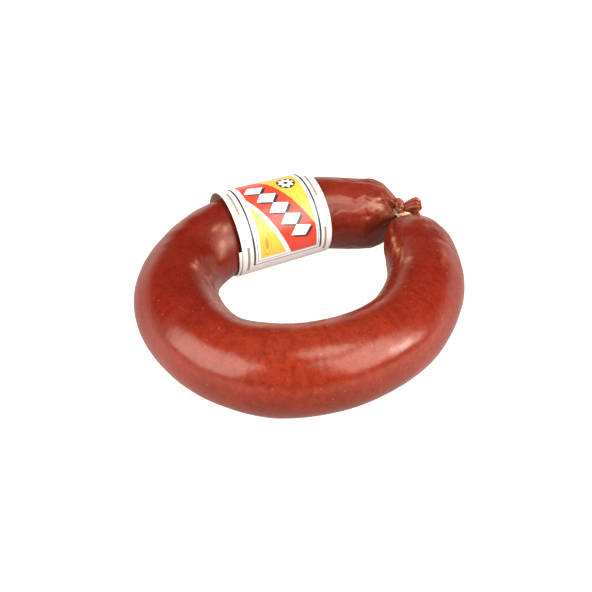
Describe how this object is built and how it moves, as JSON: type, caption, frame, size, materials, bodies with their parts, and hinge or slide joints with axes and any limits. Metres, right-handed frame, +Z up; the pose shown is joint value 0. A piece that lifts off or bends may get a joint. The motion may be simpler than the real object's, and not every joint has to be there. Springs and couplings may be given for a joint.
{
  "type": "cured sausage",
  "caption": "Horseshoe-shaped cured sausage in a natural casing, its gathered ends bound with cotton twine and a printed paper band round one leg.",
  "frame": {"origin": "centre of the footprint, on the surface that the sausage lies on", "axes": "+Z up from the surface, +Y towards the tied ends and the paper band, +X towards the side where the cut tails point"},
  "size_m": [0.16, 0.1592, 0.0444],
  "materials": {
    "casing": "glossy cured casing, brick red with darker spice specks and pale fat flecks",
    "twine": "matt twisted cotton twine, cream",
    "paper": null
  },
  "bodies": {
    "root": {"sausage": "casing", "tie_twine": "twine", "paper_band": "paper"}
  },
  "joints": []
}
